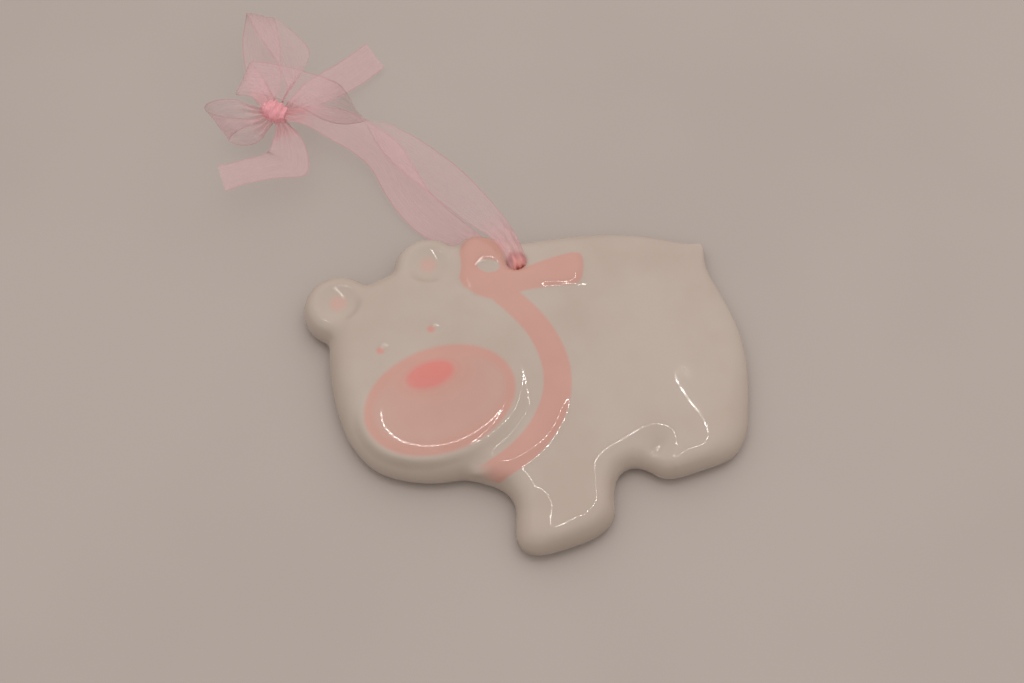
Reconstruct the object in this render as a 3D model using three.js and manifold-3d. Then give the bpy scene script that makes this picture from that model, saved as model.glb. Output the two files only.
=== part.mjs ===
// Polar bear ornament: a glazed ceramic plaque that hangs on a tied ribbon.
// Millimetres. +X runs towards the rump, +Y up the standing bear, +Z out of the face.
// The origin lies on the flat back, under the middle of the plaque.

import * as THREE from 'three';
import { mergeVertices } from 'three/addons/utils/BufferGeometryUtils.js';
import Module from 'manifold-3d';

const wasm = await Module();
wasm.setup();

// Ceramic casting: length from the cheek to the tail, height from the feet to the nape
const BODY_LENGTH = 103.1;
const BODY_HEIGHT = 84.8;
const BODY_THICKNESS = 8;
const HEAD_RISE = 1.2;
const SIDE_HEIGHT = 2.6;
const BACK_EDGE_WIDTH = 3.2;
const BACK_EDGE_HEIGHT = 2.4;
const HAUNCH_SLOPE = 7.5;
const HAUNCH_RUN = 12;
const RUMP_SLOPE = 7;
const RIDGE_TURN = 14.5;
const FACE_CELL = 5;
const EAR_RADIUS = 9.2;
const EAR_CREST_RADIUS = 5.6;
const EAR_CREST_HEIGHT = 8.3;
const EAR_DISH_DEPTH = 1.5;

// Hanging hole, with a soft front lip and a hollow in the back that leaves the ribbon room
const HOLE_RADIUS = 2.5;
const HOLE_LIP = 0.9;
const HOLLOW_DEPTH = 2.6;
const HOLLOW_SPHERE_RADIUS = 56;

// Coloured relief, each field seated in a pocket of the casting
const MUZZLE_LENGTH = 36;
const MUZZLE_HEIGHT = 26;
const MUZZLE_RISE = 1.2;
const MUZZLE_SHOULDER = 4.5;
const NOSE_LENGTH = 14.6;
const NOSE_HEIGHT = 8;
const NOSE_RISE = 0.9;
const NOSE_SHOULDER = 2;
const EYE_RADIUS = 0.95;
const EYE_RECESS = 0.3;
const EAR_RIM_TO_CENTRE = 2.1;
const EAR_CENTRE_FLATTENING = 1.6;
const EAR_CENTRE_RISE = 0.15;
const BAND_WIDTH = 5.8;
const TRIM_RISE = 0.7;
const TRIM_SHOULDER = 1.4;
const BOW_EYE_LENGTH = 7;
const BOW_EYE_HEIGHT = 5;
const POCKET_DEPTH = 2.4;
const EYE_POCKET_DEPTH = 1.2;
const SEAT_GAP = 0.25;
const EDGE_LIP = 0.3;

// Ribbon
const RIBBON_WIDTH = 10.5;
const RIBBON_THICKNESS = 0.3;
const RIBBON_GAP = 0.5;
const KNOT_RADIUS = 3.3;
const KNOT_LENGTH = 7.4;
const LOOP_REACH = 68.7;
const KNOT_SIDEWAYS = -35.5;
const KNOT_HEIGHT = 10;

// Tilts of the oval fields, in degrees
const MUZZLE_TILT = -4;
const NOSE_TILT = -6;
const BOW_EYE_TILT = -36;

// Sketch of the plaque, which stretches to its length and height. Outlines run anticlockwise.
// A row is x, y, width of the rounded shoulder.
const BODY_OUTLINE = [
  [-34, -16.6, 3.4], [-28, -22, 5], [-24.4, -26.4, 6], [-23.8, -30.6, 6.2], [-26.3, -35.4, 4.8],
  [-27.9, -39.6, 3.1], [-25.6, -43.4, 3], [-18, -45.6, 3.7], [-9.5, -46.2, 4], [-4.6, -44.2, 4],
  [-2.2, -39.8, 5], [0.8, -36, 5.8], [4.6, -35, 6], [7.8, -37.2, 6], [10.6, -41.4, 3.8],
  [19.5, -43.6, 4], [28, -44.2, 4], [33.6, -41, 5], [37.4, -36, 6], [43.6, -25.8, 6],
  [47.4, -15.8, 6], [48.9, -5, 5.5], [49.5, 3, 3], [51.6, 7.4, 0.9], [51.9, 9.2, 0.6],
  [50.4, 9.7, 0.9], [46.8, 11.8, 3], [42.4, 15.4, 5], [29.2, 23.8, 6], [16, 29.2, 5], [9.5, 31.6, 4.4],
  [4.4, 36, 4], [0, 38.6, 3.6], [-4.4, 38, 3.4], [-9, 33, 3], [-20, 14, 3], [-33, -2, 3],
  [-36.6, -10, 3],
];
const HEAD_OUTLINE = [
  [-44.6, 28, 6.5], [-48.4, 19, 6.5], [-50.9, 9, 7], [-51.2, 0, 7.5], [-48.8, -7.6, 7.5], [-43, -13.6, 7.5],
  [-35, -18, 7], [-26, -19.8, 6], [-16.6, -18.2, 5.5], [-8, -13.2, 5.5], [-2.4, -5.4, 5.5],
  [-0.8, 4, 5.5], [-2.6, 13.6, 5.5], [-6.6, 23.6, 5], [-11.4, 31.8, 5], [-18, 37.2, 6], [-25.6, 38.4, 6.5],
  [-33.2, 37.4, 6], [-40.4, 33.6, 6],
];
const BOW_OUTLINE = [
  [-4.6, 18.8, 1.2], [-1, 17.2, 1.2], [3, 17, 1.2], [10, 15.2, 1.2], [16.6, 13, 1], [17.6, 13.2, 0.8],
  [21.2, 19, 0.8], [20.8, 20, 1], [12, 21.4, 1.2], [5.4, 22.2, 1.2], [3.2, 24, 1.2], [3.6, 28, 1.2],
  [4.8, 31.4, 1.2], [2.8, 34.6, 1.2], [-0.8, 36.2, 1.2], [-4, 34.8, 1.2], [-6.2, 30, 1.2], [-8.4, 26.4, 1],
  [-7.6, 23, 1.2],
];
const BAND_CENTRE_LINE = [
  [-1, 17], [1.2, 9.5], [1.9, 3], [1.2, -4], [-1.2, -9.8], [-5.4, -15], [-11.2, -18.9], [-18.5, -21.2],
  [-25, -21.3], [-28.2, -20.4],
];


// Places in the same sketch
const HOLE_SKETCH = [6.3, 25.3];
const LEFT_EAR_SKETCH = [-38.3, 35.2];
const RIGHT_EAR_SKETCH = [-13.8, 34.6];
const MUZZLE_SKETCH = [-28, -0.6];
const NOSE_SKETCH = [-27.4, 5.9];
const LEFT_EYE_SKETCH = [-34.6, 17.9];
const RIGHT_EYE_SKETCH = [-21.1, 17.4];
const BOW_EYE_SKETCH = [-0.7, 27];
const THIGH_RIDGE_SKETCH = [24.4, -27.6];

// Toe pads on the rounded shoulder of each foot: place in the sketch, height, half sizes, turn in degrees
const TOE_PADS = [
  { at: [-22.2, -36.4], height: 5.5, half: [1.7, 4.4, 1.6], turn: -14 },
  { at: [11.8, -37.6], height: 5.4, half: [1.5, 2.8, 1.5], turn: -10 },
];

// The sketch stretched to the plaque
const sketchSpan = (column) => {
  const values = [...BODY_OUTLINE, ...HEAD_OUTLINE].map((row) => row[column]);
  return Math.max(...values) - Math.min(...values);
};
const STRETCH_X = BODY_LENGTH / sketchSpan(0);
const STRETCH_Y = BODY_HEIGHT / sketchSpan(1);
const STRETCH_WIDTH = Math.min(STRETCH_X, STRETCH_Y);
const onPlaque = ([x, y, ...widths]) => [
  x * STRETCH_X, y * STRETCH_Y, ...widths.map((width) => width * STRETCH_WIDTH),
];

const HOLE_AT = onPlaque(HOLE_SKETCH);
const LEFT_EAR_AT = onPlaque(LEFT_EAR_SKETCH);
const RIGHT_EAR_AT = onPlaque(RIGHT_EAR_SKETCH);
const MUZZLE_AT = onPlaque(MUZZLE_SKETCH);
const NOSE_AT = onPlaque(NOSE_SKETCH);
const LEFT_EYE_AT = onPlaque(LEFT_EYE_SKETCH);
const RIGHT_EYE_AT = onPlaque(RIGHT_EYE_SKETCH);
const BOW_EYE_AT = onPlaque(BOW_EYE_SKETCH);
const THIGH_RIDGE_AT = onPlaque(THIGH_RIDGE_SKETCH);
const KNOT_AT = [HOLE_AT[0] + KNOT_SIDEWAYS, HOLE_AT[1] + LOOP_REACH, KNOT_HEIGHT];

// Heights that follow from the sizes above
const HEAD_TOP = BODY_THICKNESS + HEAD_RISE;
const MUZZLE_TOP = HEAD_TOP + MUZZLE_RISE;
const NOSE_TOP = MUZZLE_TOP + NOSE_RISE;
const TRIM_TOP = BODY_THICKNESS + TRIM_RISE;
const ABOVE_ALL = NOSE_TOP + 5;
const RIBBON_OVER_FACE = TRIM_TOP + RIBBON_GAP + RIBBON_THICKNESS;
const RIBBON_UNDER_BACK = RIBBON_THICKNESS / 2 + 0.05;
const GATHERED_WIDTH = 1.36 * HOLE_RADIUS;

const radians = THREE.MathUtils.degToRad;
const ORIGIN = new THREE.Vector2();

// Solid joins and cuts

function solid(geometry) {
  const plain = geometry.clone();
  plain.deleteAttribute('normal');
  plain.deleteAttribute('uv');
  const merged = mergeVertices(plain, 1e-5);
  return new wasm.Manifold(new wasm.Mesh({
    numProp: 3,
    vertProperties: new Float32Array(merged.attributes.position.array),
    triVerts: new Uint32Array(merged.index.array),
  }));
}

function geometryOf(manifold) {
  const mesh = manifold.getMesh();
  const geometry = new THREE.BufferGeometry();
  geometry.setAttribute('position', new THREE.BufferAttribute(mesh.vertProperties, 3));
  geometry.setIndex(new THREE.BufferAttribute(mesh.triVerts, 1));
  return geometry;
}

// Closed body through rings of equal length. The flat contour says how the two ends are filled.
function loft(rings, contour) {
  const count = rings[0].length;
  const positions = rings.flat().flatMap((point) => [point.x, point.y, point.z]);
  const index = [];
  for (let ring = 0; ring + 1 < rings.length; ring += 1) {
    for (let i = 0; i < count; i += 1) {
      const a = ring * count + i;
      const b = ring * count + (i + 1) % count;
      index.push(a, b, b + count, a, b + count, a + count);
    }
  }
  const last = (rings.length - 1) * count;
  for (const [a, b, c] of THREE.ShapeUtils.triangulateShape(contour, [])) {
    index.push(a, c, b, last + a, last + b, last + c);
  }
  const geometry = new THREE.BufferGeometry();
  geometry.setAttribute('position', new THREE.Float32BufferAttribute(positions, 3));
  geometry.setIndex(index);
  return geometry;
}

// Edge samples of an outline: place, outward normal and shoulder width

function splineEdge(rows, count) {
  const path = new THREE.CatmullRomCurve3(rows.map(([x, y]) => new THREE.Vector3(x, y, 0)), true);
  path.arcLengthDivisions = 20 * rows.length;
  return Array.from({ length: count }, (_, i) => {
    const t = path.getUtoTmapping(i / count);
    const { x, y } = path.getPoint(t);
    const tangent = path.getTangent(t);
    const place = t * rows.length;
    const row = rows[Math.floor(place) % rows.length];
    const next = rows[(Math.floor(place) + 1) % rows.length];
    const ease = THREE.MathUtils.smoothstep(place % 1, 0, 1);
    const shoulder = THREE.MathUtils.lerp(row[2], next[2], ease);
    return { x, y, nx: tangent.y, ny: -tangent.x, shoulder };
  });
}

function ellipseEdge([cx, cy], length, height, tilt, shoulder, count) {
  const turn = radians(tilt);
  const [a, b] = [length / 2, height / 2];
  return Array.from({ length: count }, (_, i) => {
    const angle = 2 * Math.PI * i / count;
    const point = new THREE.Vector2(a * Math.cos(angle), b * Math.sin(angle));
    const normal = new THREE.Vector2(Math.cos(angle) / a, Math.sin(angle) / b).normalize();
    point.rotateAround(ORIGIN, turn);
    normal.rotateAround(ORIGIN, turn);
    return { x: cx + point.x, y: cy + point.y, nx: normal.x, ny: normal.y, shoulder };
  });
}

// A strip of even width with round ends, laid along a centre line
function stripEdge(points, width, shoulder, sideCount, endCount) {
  const path = new THREE.CatmullRomCurve3(points.map(([x, y]) => new THREE.Vector3(x, y, 0)));
  const edge = [];
  const add = (u, side, spread) => {
    const centre = path.getPointAt(u);
    const along = path.getTangentAt(u);
    const nx = side * along.y * Math.cos(spread) + side * along.x * Math.sin(spread);
    const ny = -side * along.x * Math.cos(spread) + side * along.y * Math.sin(spread);
    const half = width / 2;
    edge.push({ x: centre.x + half * nx, y: centre.y + half * ny, nx, ny, shoulder });
  };
  for (const side of [1, -1]) {
    for (let i = 0; i < sideCount; i += 1) {
      const u = i / (sideCount - 1);
      add(side > 0 ? u : 1 - u, side, 0);
    }
    for (let i = 1; i < endCount; i += 1) {
      add(side > 0 ? 1 : 0, side, Math.PI * i / endCount);
    }
  }
  return edge;
}

const ringOf = (edge, inset, height) => edge.map((sample, i) => {
  const inward = typeof inset === 'function' ? inset(sample, i) : inset;
  const z = typeof height === 'function' ? height(sample, i) : height;
  return new THREE.Vector3(sample.x - inward * sample.nx, sample.y - inward * sample.ny, z);
});

const contourOf = (ring) => ring.map(({ x, y }) => new THREE.Vector2(x, y));

// A slab with a rounded front shoulder and, where it has a back edge, a rounded back one
function pillow(edge, { base, side, top, backWidth = 0, shoulderSteps = 5, backSteps = 3 }) {
  const rings = [];
  if (backWidth > 0) {
    for (let step = 0; step < backSteps; step += 1) {
      const angle = Math.PI / 2 * step / backSteps;
      const inset = (sample) => Math.min(backWidth, sample.shoulder) * (1 - Math.sin(angle));
      rings.push(ringOf(edge, inset, base + BACK_EDGE_HEIGHT * (1 - Math.cos(angle))));
    }
    rings.push(ringOf(edge, 0, base + BACK_EDGE_HEIGHT));
  } else {
    rings.push(ringOf(edge, 0, base));
  }
  for (let step = 0; step <= shoulderSteps; step += 1) {
    const angle = Math.PI / 2 * step / shoulderSteps;
    const inset = (sample) => sample.shoulder * (1 - Math.cos(angle));
    rings.push(ringOf(edge, inset, side + (top - side) * Math.sin(angle)));
  }
  return loft(rings, contourOf(rings[rings.length - 1]));
}

const prism = (edge, grow, low, high) => {
  const rings = [ringOf(edge, -grow, low), ringOf(edge, -grow, high)];
  return loft(rings, contourOf(rings[0]));
};

// A turned body about +Z at a place in the plan
function turned(profile, [x, y], segments) {
  const points = profile.map(([radius, height]) => new THREE.Vector2(radius, height));
  const geometry = new THREE.LatheGeometry(points, segments);
  geometry.rotateX(Math.PI / 2);
  geometry.translate(x, y, 0);
  return geometry;
}

// Casting

const bodyEdge = splineEdge(BODY_OUTLINE.map(onPlaque), 132);
const slabSides = { base: 0, side: SIDE_HEIGHT, backWidth: BACK_EDGE_WIDTH };

// The face falls away from a ridge along the thigh, first steeply and then gently over the rump
function haunchDrop(x, y) {
  const turn = radians(RIDGE_TURN);
  const [ridgeX, ridgeY] = THIGH_RIDGE_AT;
  const past = Math.max(0, (x - ridgeX) * Math.cos(turn) + Math.max(0, y - ridgeY) * Math.sin(turn));
  const steep = Math.min(past, HAUNCH_RUN);
  return steep * Math.tan(radians(HAUNCH_SLOPE)) + (past - steep) * Math.tan(radians(RUMP_SLOPE));
}
const flatSlab = solid(pillow(bodyEdge, { ...slabSides, top: BODY_THICKNESS }));
const bodySlab = flatSlab.refineToLength(FACE_CELL).warp((point) => {
  const share = Math.max(0, (point[2] - SIDE_HEIGHT) / (BODY_THICKNESS - SIDE_HEIGHT));
  point[2] -= share * haunchDrop(point[0], point[1]);
});
const headEdge = splineEdge(HEAD_OUTLINE.map(onPlaque), 72);
const headSlab = solid(pillow(headEdge, { ...slabSides, top: HEAD_TOP }));

function ear(at) {
  const foot = EAR_RADIUS - BACK_EDGE_WIDTH;
  const profile = [[0, 0], [foot, 0]];
  for (let step = 1; step <= 3; step += 1) {
    const angle = Math.PI / 2 * step / 3;
    profile.push([foot + BACK_EDGE_WIDTH * Math.sin(angle), BACK_EDGE_HEIGHT * (1 - Math.cos(angle))]);
  }
  for (let step = 0; step <= 5; step += 1) {
    const angle = Math.PI / 2 * step / 5;
    const radius = EAR_CREST_RADIUS + (EAR_RADIUS - EAR_CREST_RADIUS) * Math.cos(angle);
    profile.push([radius, SIDE_HEIGHT + (EAR_CREST_HEIGHT - SIDE_HEIGHT) * Math.sin(angle)]);
  }
  for (let step = 1; step <= 4; step += 1) {
    const share = step / 4;
    const dip = EAR_DISH_DEPTH * (1 - Math.cos(Math.PI * share)) / 2;
    profile.push([EAR_CREST_RADIUS * (1 - share), EAR_CREST_HEIGHT - dip]);
  }
  return solid(turned(profile, at, 36));
}

function toePad({ at, height, half, turn }) {
  const geometry = new THREE.SphereGeometry(1, 14, 8);
  geometry.scale(...half);
  geometry.rotateZ(radians(turn));
  const [x, y] = onPlaque(at);
  geometry.translate(x, y, height);
  return solid(geometry);
}

// The hole's cutter: the hollow in the back, a straight bore and the soft front lip
function holeCutter(grow) {
  const rim = Math.sqrt(2 * HOLLOW_SPHERE_RADIUS * HOLLOW_DEPTH);
  const hollow = (radius) => HOLLOW_DEPTH - radius ** 2 / (2 * HOLLOW_SPHERE_RADIUS);
  const profile = [[0, -1], [rim + 0.5, -1]];
  for (let step = 0; step <= 4; step += 1) {
    const radius = THREE.MathUtils.lerp(rim, HOLE_RADIUS + HOLE_LIP, step / 4);
    profile.push([radius, hollow(radius)]);
  }
  profile.push([HOLE_RADIUS + grow, HOLLOW_DEPTH + HOLE_LIP]);
  for (let step = 0; step <= 3; step += 1) {
    const angle = Math.PI / 2 * step / 3;
    const flare = HOLE_LIP * (1 - Math.cos(angle));
    profile.push([HOLE_RADIUS + grow + flare, BODY_THICKNESS - HOLE_LIP * (1 - Math.sin(angle))]);
  }
  profile.push([HOLE_RADIUS + grow + HOLE_LIP, ABOVE_ALL], [0, ABOVE_ALL]);
  return solid(turned(profile, HOLE_AT, 28));
}

// Coloured relief: each field's edge and the floor of its pocket

const muzzleEdge = ellipseEdge(MUZZLE_AT, MUZZLE_LENGTH, MUZZLE_HEIGHT, MUZZLE_TILT, MUZZLE_SHOULDER, 48);
const noseEdge = ellipseEdge(NOSE_AT, NOSE_LENGTH, NOSE_HEIGHT, NOSE_TILT, NOSE_SHOULDER, 32);
const bandEdge = stripEdge(BAND_CENTRE_LINE.map(onPlaque), BAND_WIDTH, TRIM_SHOULDER, 26, 6);
const bowEdge = splineEdge(BOW_OUTLINE.map(onPlaque), 54);
const bowEyeEdge = ellipseEdge(BOW_EYE_AT, BOW_EYE_LENGTH, BOW_EYE_HEIGHT, BOW_EYE_TILT, 0, 24);
const eyeEdge = (at) => ellipseEdge(at, 2 * EYE_RADIUS, 2 * EYE_RADIUS, 0, 0.8 * EYE_RADIUS, 14);
const earCentreLength = 2 * (EAR_CREST_RADIUS - EAR_RIM_TO_CENTRE);
const earCentreHeight = earCentreLength - EAR_CENTRE_FLATTENING;
const earCentreEdge = (at) => ellipseEdge(at, earCentreLength, earCentreHeight, 0, 1.2, 24);

const MUZZLE_FLOOR = HEAD_TOP - POCKET_DEPTH;
const NOSE_FLOOR = MUZZLE_TOP - EYE_POCKET_DEPTH;
const TRIM_FLOOR = BODY_THICKNESS - POCKET_DEPTH;
const EYE_FLOOR = HEAD_TOP - EYE_POCKET_DEPTH;
const EAR_CENTRE_TOP = EAR_CREST_HEIGHT - EAR_DISH_DEPTH + EAR_CENTRE_RISE;
const EAR_CENTRE_FLOOR = EAR_CENTRE_TOP - EYE_POCKET_DEPTH;

const pocket = (edge, floor) => solid(prism(edge, SEAT_GAP, floor, ABOVE_ALL));
const bowRing = (low, grow) => solid(prism(bowEdge, grow, low, ABOVE_ALL))
  .subtract(solid(prism(bowEyeEdge, -grow, low - 1, ABOVE_ALL + 1)));

function castingGeometry() {
  let casting = bodySlab.subtract(pocket(bandEdge, TRIM_FLOOR));
  casting = casting.add(headSlab).add(ear(LEFT_EAR_AT)).add(ear(RIGHT_EAR_AT));
  for (const pad of TOE_PADS) {
    casting = casting.add(toePad(pad));
  }
  casting = casting.subtract(holeCutter(0)).subtract(bowRing(TRIM_FLOOR, SEAT_GAP));
  const fields = [
    [muzzleEdge, MUZZLE_FLOOR],
    [eyeEdge(LEFT_EYE_AT), EYE_FLOOR], [eyeEdge(RIGHT_EYE_AT), EYE_FLOOR],
    [earCentreEdge(LEFT_EAR_AT), EAR_CENTRE_FLOOR], [earCentreEdge(RIGHT_EAR_AT), EAR_CENTRE_FLOOR],
  ];
  for (const [edge, floor] of fields) {
    casting = casting.subtract(pocket(edge, floor));
  }
  return geometryOf(casting);
}

// The trim follows the body's own rounded face, lifted by the trim's rise
const liftedBody = bodySlab.translate([0, 0, TRIM_RISE]);
const trimSides = { base: TRIM_FLOOR, side: TRIM_TOP - TRIM_SHOULDER / 2, top: TRIM_TOP, shoulderSteps: 3 };

function neckBowGeometry() {
  const eye = solid(prism(bowEyeEdge, 0, 0, ABOVE_ALL));
  const bow = solid(pillow(bowEdge, trimSides)).subtract(eye).subtract(holeCutter(SEAT_GAP));
  return geometryOf(bow.intersect(liftedBody));
}

function neckBandGeometry() {
  const underBow = solid(prism(bowEdge, SEAT_GAP, 0, ABOVE_ALL));
  const underHead = solid(prism(headEdge, SEAT_GAP, 0, ABOVE_ALL));
  const band = solid(pillow(bandEdge, trimSides)).subtract(underBow).subtract(underHead);
  return geometryOf(band.intersect(liftedBody));
}

function muzzleGeometry() {
  const side = HEAD_TOP - EDGE_LIP;
  const muzzle = solid(pillow(muzzleEdge, { base: MUZZLE_FLOOR, side, top: MUZZLE_TOP }));
  return geometryOf(muzzle.subtract(pocket(noseEdge, NOSE_FLOOR)));
}

const noseGeometry = () => pillow(noseEdge, {
  base: NOSE_FLOOR, side: MUZZLE_TOP - EDGE_LIP, top: NOSE_TOP, shoulderSteps: 4,
});

const eyeGeometry = (at) => pillow(eyeEdge(at), {
  base: EYE_FLOOR, side: HEAD_TOP - EYE_RECESS - EDGE_LIP, top: HEAD_TOP - EYE_RECESS, shoulderSteps: 3,
});

const earCentreGeometry = (at) => pillow(earCentreEdge(at), {
  base: EAR_CENTRE_FLOOR, side: EAR_CENTRE_TOP - EDGE_LIP, top: EAR_CENTRE_TOP, shoulderSteps: 2,
});

// Ribbon stretches: stations of centre x, y, z, width, and the width's azimuth and elevation in degrees.
// The two strands start inside the hole, are measured from it and stretch with the loop's reach.
// The bow's loops and tails start at the knot and are measured from it.

const DRAWN_REACH = 68.7;
const FRONT_STRAND = [
  [0, -0.1, 4.5, GATHERED_WIDTH, 4, 0],
  [0, -0.1, 7, GATHERED_WIDTH, 4, 0],
  [0.1, 0.8, RIBBON_OVER_FACE - 0.4, GATHERED_WIDTH + 0.4, 2, 0],
  [0.3, 2.7, RIBBON_OVER_FACE + 0.4, GATHERED_WIDTH + 1.2, 0, 2],
  [-0.5, 8.7, RIBBON_OVER_FACE + 0.6, 6.2, 6, 4],
  [-1.9, 14.1, RIBBON_OVER_FACE + 0.7, 8.2, 9, 6],
  [-5.4, 26.9, 10, RIBBON_WIDTH, 14, 6],
  [-8.9, 37.4, 9.8, RIBBON_WIDTH, 17, 3],
  [-11.7, 44.5, 10, RIBBON_WIDTH, 32, -12],
  [-13.7, 50.7, 10.4, RIBBON_WIDTH, 42, -34],
  [-16.1, 56.1, 10.8, RIBBON_WIDTH, 46, -68],
  [-19.3, 60.7, 11.6, RIBBON_WIDTH, 42, -114],
  [-22.7, 64.9, 12.8, RIBBON_WIDTH, 37, -152],
  [-26.5, 69.6, 13.9, RIBBON_WIDTH, 35, -174],
  [-31.5, 75.3, 14.6, RIBBON_WIDTH, 36, -180],
  [-35.9, 80.1, 14.6, RIBBON_WIDTH, 34, -180],
  [-37.2, 81.5, 13.8, RIBBON_WIDTH, 32, -180],
  [-37.1, 81.3, 12.8, RIBBON_WIDTH, 32, -180],
  [-36.7, 79.3, 12.1, 8.4, 30, -180],
  [-36.3, 76.3, 11.8, 6, 24, -180],
  [-35.9, 72.8, 11, 4, 14, -180],
];
const REAR_STRAND = [
  [0, -0.1, 4.1, GATHERED_WIDTH, 12, 0],
  [0, 0, 2.6, GATHERED_WIDTH, 12, 0],
  [-0.4, 1.2, 0.7, GATHERED_WIDTH, 14, 0],
  [-1.2, 3.4, RIBBON_UNDER_BACK + 0.02, GATHERED_WIDTH, 18, 0],
  [-2.8, 7.8, RIBBON_UNDER_BACK, 4.2, 22, 0],
  [-4.5, 11.9, RIBBON_UNDER_BACK, 5.6, 26, 0],
  [-7.3, 16.7, RIBBON_UNDER_BACK + 0.15, 7.8, 32, 0],
  [-11.5, 23.7, 1.4, RIBBON_WIDTH, 34, 4],
  [-13.7, 30.7, 2.2, RIBBON_WIDTH, 20, 5],
  [-14.2, 38.3, 2.8, RIBBON_WIDTH, 8, 4],
  [-14.5, 46.7, 3.6, RIBBON_WIDTH, 16, 2],
  [-17.5, 54.3, 4.4, RIBBON_WIDTH, 30, -2],
  [-21.7, 60.5, 5.6, RIBBON_WIDTH, 36, -4],
  [-27.3, 64.9, 7.8, 7, 42, -2],
  [-32.2, 66.7, 9.2, 4, 46, 0],
];
const LOOP_UPPER = [
  [-0.4, 3.9, -1.4, 4, 10, 0],
  [0.8, 9, -2.6, 7.6, -10, -4],
  [3.4, 16.4, -3.2, 9.8, -20, -8],
  [6.4, 23.6, -3, RIBBON_WIDTH, -24, -12],
  [8.4, 29, -2, RIBBON_WIDTH, -24, -18],
  [9, 30, -0.6, RIBBON_WIDTH, -24, -20],
  [9.1, 28.4, 0.5, RIBBON_WIDTH, -22, -18],
  [10.6, 21.4, 0.9, RIBBON_WIDTH, -14, -12],
  [11.6, 14, 0.4, 9.8, 0, -6],
  [9.2, 7.8, 0.1, 7.2, 24, 0],
  [4.4, 3.3, 0.1, 4, 44, 0],
];
const LOOP_LEFT = [
  [-3.9, 1.2, 0.9, 4, 96, 10],
  [-7.2, 2.8, 1.4, 8, 100, 20],
  [-11.4, 4.2, 0.9, 9.8, 104, 28],
  [-14.2, 4.8, -0.5, RIBBON_WIDTH, 106, 32],
  [-14.9, 4.8, -2, RIBBON_WIDTH, 106, 32],
  [-13.8, 3.8, -3.2, RIBBON_WIDTH, 106, 30],
  [-10.4, 1.6, -3.7, 9.6, 104, 22],
  [-6.8, -0.1, -3, 7.4, 100, 12],
  [-3.8, -0.7, -1.8, 4, 96, 6],
];
const TAIL_RIGHT = [
  [3.8, 0.6, -2.1, 3.6, 100, 0],
  [8.2, 2.6, -3.8, 6.8, 104, -2],
  [14.2, 5.2, -5.8, 9.8, 106, -4],
  [21.4, 7.4, -7.6, RIBBON_WIDTH, 102, -4],
  [28.6, 9.6, -8.7, RIBBON_WIDTH, 98, -4],
  [33.8, 11.4, -9, RIBBON_WIDTH, 94, -4],
];
const TAIL_LOWER = [
  [0.1, -3.9, -1.6, 3.6, 178, 0],
  [-0.6, -7.8, -1.8, 7.4, 172, 4],
  [-1.8, -12.2, -1.8, 10.2, 150, 8],
  [-3.6, -15.2, -1.7, 12.4, 118, 2],
  [-7.2, -14.4, -1.5, 11, 98, -12],
  [-13.2, -12.8, -1.5, RIBBON_WIDTH, 86, -18],
  [-20.4, -11.3, -2, RIBBON_WIDTH, 82, -14],
];

const STRIP_SECTION = [[-1, -1], [1, -1], [1, 1], [-1, 1]];

const fromHole = ([x, y, ...rest]) => [HOLE_AT[0] + x, HOLE_AT[1] + y * LOOP_REACH / DRAWN_REACH, ...rest];
const fromKnot = ([x, y, z, ...rest]) => [KNOT_AT[0] + x, KNOT_AT[1] + y, KNOT_AT[2] + z, ...rest];

function ribbonStrip(stations, steps) {
  const centre = new THREE.CatmullRomCurve3(stations.map(([x, y, z]) => new THREE.Vector3(x, y, z)));
  const spread = new THREE.CatmullRomCurve3(
    stations.map(([, , , width, azimuth, elevation]) => new THREE.Vector3(width, azimuth, elevation)),
    false,
    'catmullrom',
  );
  const rings = [];
  for (let step = 0; step <= steps; step += 1) {
    const t = centre.getUtoTmapping(step / steps);
    const at = centre.getPoint(t);
    const { x: width, y: azimuth, z: elevation } = spread.getPoint(t);
    const across = new THREE.Vector3().setFromSphericalCoords(1, radians(90 - elevation), radians(azimuth));
    across.set(across.z, across.x, across.y);
    const up = centre.getTangent(t).cross(across).normalize();
    rings.push(STRIP_SECTION.map(([side, face]) => at.clone()
      .addScaledVector(across, side * width / 2)
      .addScaledVector(up, face * RIBBON_THICKNESS / 2)));
  }
  return loft(rings, STRIP_SECTION.map(([x, y]) => new THREE.Vector2(x, y)));
}

// The knot: a short roll of wraps, lying across the two strands
function knotGeometry() {
  const profile = [[0, -KNOT_LENGTH / 2]];
  const steps = 12;
  for (let step = 1; step < steps; step += 1) {
    const share = step / steps;
    const swell = Math.sin(Math.PI * share) ** 0.6;
    const wraps = 1 + 0.06 * Math.cos(6 * Math.PI * share);
    profile.push([KNOT_RADIUS * swell * wraps, KNOT_LENGTH * (share - 0.5)]);
  }
  profile.push([0, KNOT_LENGTH / 2]);
  const geometry = turned(profile, [0, 0], 18);
  geometry.rotateX(Math.PI / 2);
  geometry.rotateZ(radians(40));
  geometry.translate(...KNOT_AT);
  return geometry;
}

// Assembly

const finish = (color, roughness) => () => new THREE.MeshStandardMaterial({ color, roughness, metalness: 0 });
const whiteGlaze = finish(0xe9ddd2, 0.12);
const pinkGlaze = finish(0xf0b4a6, 0.12);
const coralGlaze = finish(0xee827a, 0.12);
const blushGlaze = finish(0xeccabe, 0.12);
const organza = finish(0xf0b8bc, 0.55);

const ornament = new THREE.Group();

function addPiece(name, geometry, material) {
  const mesh = new THREE.Mesh(geometry, material());
  mesh.name = name;
  ornament.add(mesh);
}

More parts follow.
